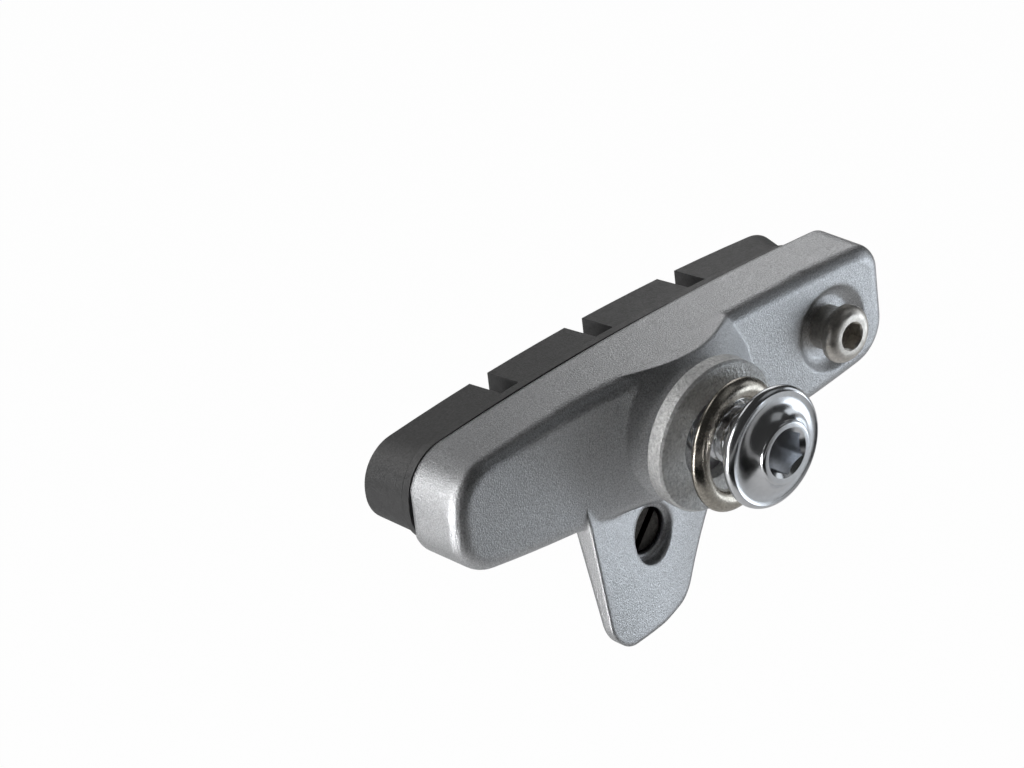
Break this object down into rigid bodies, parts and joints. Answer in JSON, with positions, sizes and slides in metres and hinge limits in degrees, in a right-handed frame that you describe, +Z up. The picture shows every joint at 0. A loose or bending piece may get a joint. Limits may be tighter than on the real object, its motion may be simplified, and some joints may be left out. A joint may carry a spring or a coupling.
{
  "type": "bicycle rim brake pad",
  "caption": "Road bicycle brake shoe: cast metal holder with wheel guide fin, slotted rubber pad, and a socket bolt with a cupped and a dished washer.",
  "frame": {"origin": "on the mounting bolt's axis, at the outer face of the seat washer when it stands square: where the brake arm is clamped", "axes": "+X along the rim towards the holder's open end, +Y towards the rim, +Z up, away from the wheel's hub"},
  "size_m": [0.0564, 0.0268, 0.0269],
  "materials": {
    "holder_paint": "fine grained silver grey metallic paint",
    "pad_rubber": "matte moulded rubber",
    "bolt_chrome": "polished",
    "dish_steel": "satin, warm toned",
    "seat_metal": "grit blasted",
    "keeper_steel": "satin nickel",
    "plug_metal": "dull bronze brown on the rim side, blackened on the outside"
  },
  "bodies": {
    "shoe": {"shoe_holder": "holder_paint", "brake_pad": "pad_rubber", "mounting_bolt": "bolt_chrome", "pad_retaining_screw": "keeper_steel", "slotted_screw": "plug_metal"},
    "seat_ring": {"seat_washer": "seat_metal"},
    "dish_ring": {"dish_washer": "dish_steel"}
  },
  "joints": [
    {"name": "seat_tilt", "type": "hinge", "parent": "shoe", "child": "seat_ring", "pos_m": [0, 0.01675, 0], "axis": [1, 0, 0], "range_deg": [-8.68, 0]},
    {"name": "dish_slide", "type": "slide", "parent": "shoe", "child": "dish_ring", "axis": [0, -1, 0], "range_m": [0, 0.0004]}
  ]
}
